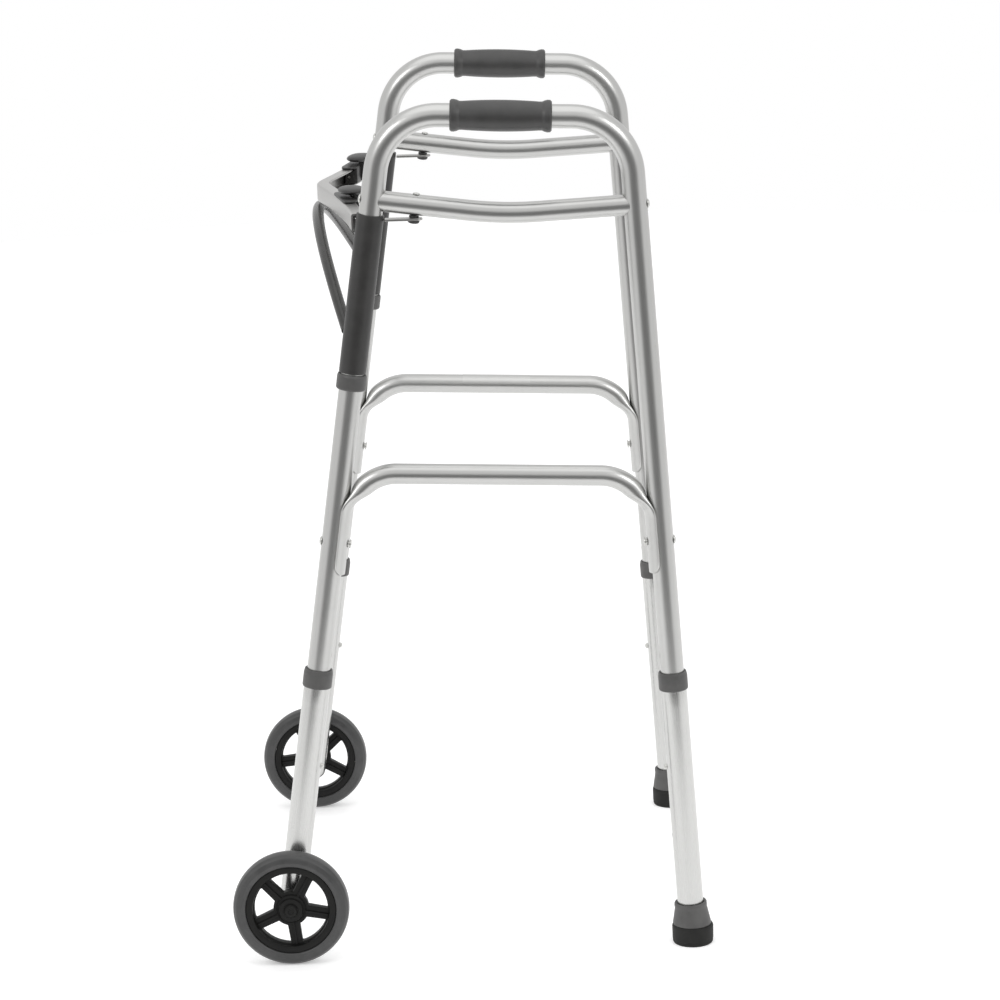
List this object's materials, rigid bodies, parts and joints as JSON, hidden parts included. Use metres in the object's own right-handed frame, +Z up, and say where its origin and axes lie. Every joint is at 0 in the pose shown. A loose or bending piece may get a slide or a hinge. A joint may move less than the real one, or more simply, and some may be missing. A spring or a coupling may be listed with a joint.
{
  "type": "front wheeled walker",
  "caption": "Folding aluminium walking frame: side frames with braces and grips, a front bow and arch with release paddles, front wheels, rubber-tipped rear legs.",
  "frame": {"origin": "on the floor, under the middle of the bounding box", "axes": "+Z up, +Y towards the user (rear feet), -Y forwards (wheels), +X to the side that is nearest the viewer in the source picture"},
  "size_m": [0.581, 0.526, 0.9385],
  "materials": {
    "satin_aluminium": "satin anodised drawn tube",
    "bow_aluminium": "satin rolled strip, flat faced",
    "arch_paint": "dark grey semi-gloss paint on round tube",
    "sleeve_plastic": "near black moulded nylon, soft sheen",
    "collar_plastic": "mid grey moulded plastic",
    "steel_fasteners": "bright zinc plated steel",
    "grip_vinyl": "dark grey moulded vinyl, matt",
    "rim_plastic": "near black moulded rim, slight sheen",
    "tyre_rubber": "smooth grey solid tyre",
    "tip_upper": "mid grey soft rubber",
    "tip_base_rubber": "black hard rubber"
  },
  "bodies": {
    "front_assembly": {"front_bow": "bow_aluminium", "front_arch": "arch_paint", "hinge_sleeve_left": "sleeve_plastic", "paddle_housing_left": "sleeve_plastic", "paddle_pin_left": "steel_fasteners", "hinge_sleeve_right": "sleeve_plastic", "paddle_housing_right": "sleeve_plastic", "paddle_pin_right": "steel_fasteners"},
    "side_left": {"side_frame_left": "satin_aluminium", "upper_brace_left": "satin_aluminium", "lower_brace_left": "satin_aluminium", "upper_rivet_front_left": "steel_fasteners", "upper_rivet_rear_left": "steel_fasteners", "lower_rivet_front_left": "steel_fasteners", "lower_rivet_rear_left": "steel_fasteners", "hand_grip_left": "grip_vinyl", "latch_bar_left": "bow_aluminium", "latch_bolt_left": "sleeve_plastic", "hinge_collar_left": "sleeve_plastic"},
    "front_leg_left": {"front_leg_extension_left": "satin_aluminium", "front_leg_collar_left": "collar_plastic", "wheel_spacer_left": "sleeve_plastic", "axle_bolt_left": "sleeve_plastic"},
    "rear_leg_left": {"rear_leg_extension_left": "satin_aluminium", "rear_leg_collar_left": "collar_plastic", "rear_tip_left": "tip_upper", "rear_tip_base_left": "tip_base_rubber"},
    "wheel_left": {"wheel_hub_left": "rim_plastic", "tyre_left": "tyre_rubber"},
    "front_button_left": {"front_snap_button_left": "steel_fasteners"},
    "rear_button_left": {"rear_snap_button_left": "steel_fasteners"},
    "paddle_left": {"release_paddle_left": "sleeve_plastic"},
    "side_right": {"side_frame_right": "satin_aluminium", "upper_brace_right": "satin_aluminium", "lower_brace_right": "satin_aluminium", "upper_rivet_front_right": "steel_fasteners", "upper_rivet_rear_right": "steel_fasteners", "lower_rivet_front_right": "steel_fasteners", "lower_rivet_rear_right": "steel_fasteners", "hand_grip_right": "grip_vinyl", "latch_bar_right": "bow_aluminium", "latch_bolt_right": "sleeve_plastic", "hinge_collar_right": "sleeve_plastic"},
    "front_leg_right": {"front_leg_extension_right": "satin_aluminium", "front_leg_collar_right": "collar_plastic", "wheel_spacer_right": "sleeve_plastic", "axle_bolt_right": "sleeve_plastic"},
    "rear_leg_right": {"rear_leg_extension_right": "satin_aluminium", "rear_leg_collar_right": "collar_plastic", "rear_tip_right": "tip_upper", "rear_tip_base_right": "tip_base_rubber"},
    "wheel_right": {"wheel_hub_right": "rim_plastic", "tyre_right": "tyre_rubber"},
    "front_button_right": {"front_snap_button_right": "steel_fasteners"},
    "rear_button_right": {"rear_snap_button_right": "steel_fasteners"},
    "paddle_right": {"release_paddle_right": "sleeve_plastic"}
  },
  "joints": [
    {"name": "fold_left", "type": "hinge", "parent": "front_assembly", "child": "side_left", "pos_m": [0.244, -0.09761, 0.735], "axis": [0, 0.15, 0.9887], "range_deg": [0, 90]},
    {"name": "release_left", "type": "hinge", "parent": "front_assembly", "child": "paddle_left", "pos_m": [0.12948, -0.11587, 0.81], "axis": [-0.9791, -0.2031, 0], "range_deg": [0, 7], "stiffness_Nm_per_rad": 1.2, "springref_deg": -3.44},
    {"name": "front_height_left", "type": "slide", "parent": "side_left", "child": "front_leg_left", "axis": [0, 0.15, 0.9887], "range_m": [-0.0254, 0.1016]},
    {"name": "rear_height_left", "type": "slide", "parent": "side_left", "child": "rear_leg_left", "axis": [0, -0.0563, 0.9984], "range_m": [-0.0254, 0.1016]},
    {"name": "wheel_spin_left", "type": "hinge", "parent": "front_leg_left", "child": "wheel_left", "pos_m": [0.2735, -0.19948, 0.0635], "axis": [1, 0, 0], "continuous": true},
    {"name": "front_button_press_left", "type": "slide", "parent": "front_leg_left", "child": "front_button_left", "axis": [0, -0.9887, 0.15], "range_m": [0, 0.0042], "stiffness_N_per_m": 900, "springref_m": -0.002},
    {"name": "rear_button_press_left", "type": "slide", "parent": "rear_leg_left", "child": "rear_button_left", "axis": [0, 0.9984, 0.0563], "range_m": [0, 0.0042], "stiffness_N_per_m": 900, "springref_m": -0.002},
    {"name": "fold_right", "type": "hinge", "parent": "front_assembly", "child": "side_right", "pos_m": [-0.244, -0.09761, 0.735], "axis": [0, -0.15, -0.9887], "range_deg": [0, 78]},
    {"name": "release_right", "type": "hinge", "parent": "front_assembly", "child": "paddle_right", "pos_m": [-0.12948, -0.11587, 0.81], "axis": [-0.9791, 0.2031, 0], "range_deg": [0, 7], "stiffness_Nm_per_rad": 1.2, "springref_deg": -3.44},
    {"name": "front_height_right", "type": "slide", "parent": "side_right", "child": "front_leg_right", "axis": [0, 0.15, 0.9887], "range_m": [-0.0254, 0.1016]},
    {"name": "rear_height_right", "type": "slide", "parent": "side_right", "child": "rear_leg_right", "axis": [0, -0.0563, 0.9984], "range_m": [-0.0254, 0.1016]},
    {"name": "wheel_spin_right", "type": "hinge", "parent": "front_leg_right", "child": "wheel_right", "pos_m": [-0.2735, -0.19948, 0.0635], "axis": [1, 0, 0], "continuous": true},
    {"name": "front_button_press_right", "type": "slide", "parent": "front_leg_right", "child": "front_button_right", "axis": [0, -0.9887, 0.15], "range_m": [0, 0.0042], "stiffness_N_per_m": 900, "springref_m": -0.002},
    {"name": "rear_button_press_right", "type": "slide", "parent": "rear_leg_right", "child": "rear_button_right", "axis": [0, 0.9984, 0.0563], "range_m": [0, 0.0042], "stiffness_N_per_m": 900, "springref_m": -0.002}
  ]
}
